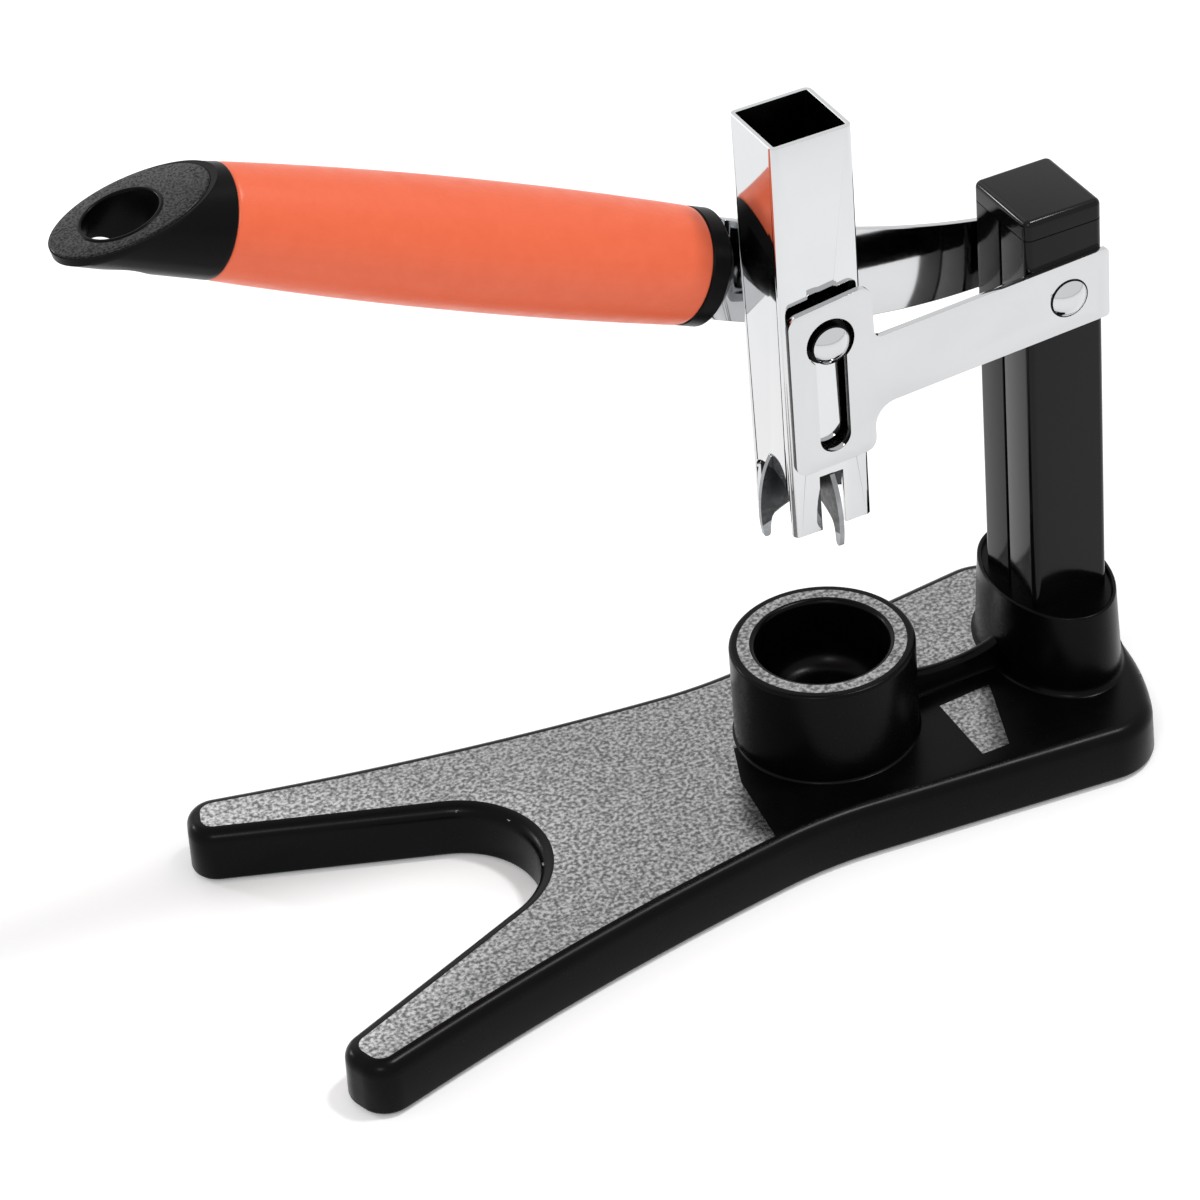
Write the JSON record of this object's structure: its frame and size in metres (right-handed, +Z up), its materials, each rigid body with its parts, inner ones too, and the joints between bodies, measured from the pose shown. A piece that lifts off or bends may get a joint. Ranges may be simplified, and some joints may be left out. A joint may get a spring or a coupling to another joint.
{
  "type": "chestnut opener",
  "caption": "Chestnut opener with an orange-gripped lever that drives a square steel cutter tube with crossed blades down to a cup on a forked black base.",
  "frame": {"origin": "on the floor plane below the middle of the whole opener's bounding box", "axes": "+X from the fork towards the post, +Y from the guide plate towards the lever plate and the handle, +Z up; the drive pin is at its upper position"},
  "size_m": [0.2415, 0.111, 0.2045],
  "materials": {
    "base_plastic": "glossy black, finely grained on the top faces",
    "foot_rubber": "matt black",
    "post_paint": "glossy black",
    "zinc_steel": "plain",
    "polished_steel": "mirror polished",
    "tube_steel": "mirror polished",
    "blade_steel": "ground",
    "handle_plastic": "fine grain",
    "grip_rubber": "soft touch, satin, orange"
  },
  "bodies": {
    "stand": {"base": "base_plastic", "foot_prong_near": "foot_rubber", "foot_prong_far": "foot_rubber", "foot_tail_near": "foot_rubber", "foot_tail_far": "foot_rubber", "post": "post_paint", "post_cap": "post_paint", "post_plug": "zinc_steel", "post_screw": "zinc_steel", "guide_plate": "polished_steel", "pivot_rivet": "polished_steel", "pivot_washer": "polished_steel"},
    "lever": {"lever_plate": "polished_steel", "handle_core": "handle_plastic", "grip": "grip_rubber", "end_cap": "handle_plastic"},
    "cutter": {"cutter_tube": "tube_steel", "blade_lengthwise": "blade_steel", "blade_crosswise": "blade_steel", "drive_pin": "polished_steel", "guide_bush": "polished_steel", "drive_spacer": "polished_steel", "drive_washer": "polished_steel"}
  },
  "joints": [
    {"name": "lever_hinge", "type": "hinge", "parent": "stand", "child": "lever", "pos_m": [0.10357, 0.0142, 0.1204], "axis": [0, -1, 0], "range_deg": [-1.5, 22.4]},
    {"name": "cutter_slide", "type": "slide", "parent": "stand", "child": "cutter", "axis": [0, 0, -1], "range_m": [-0.0017, 0.0243]}
  ],
  "couplings": [
    {"joint": "cutter_slide", "follows": "lever_hinge", "m_per_rad": 0.0619}
  ]
}
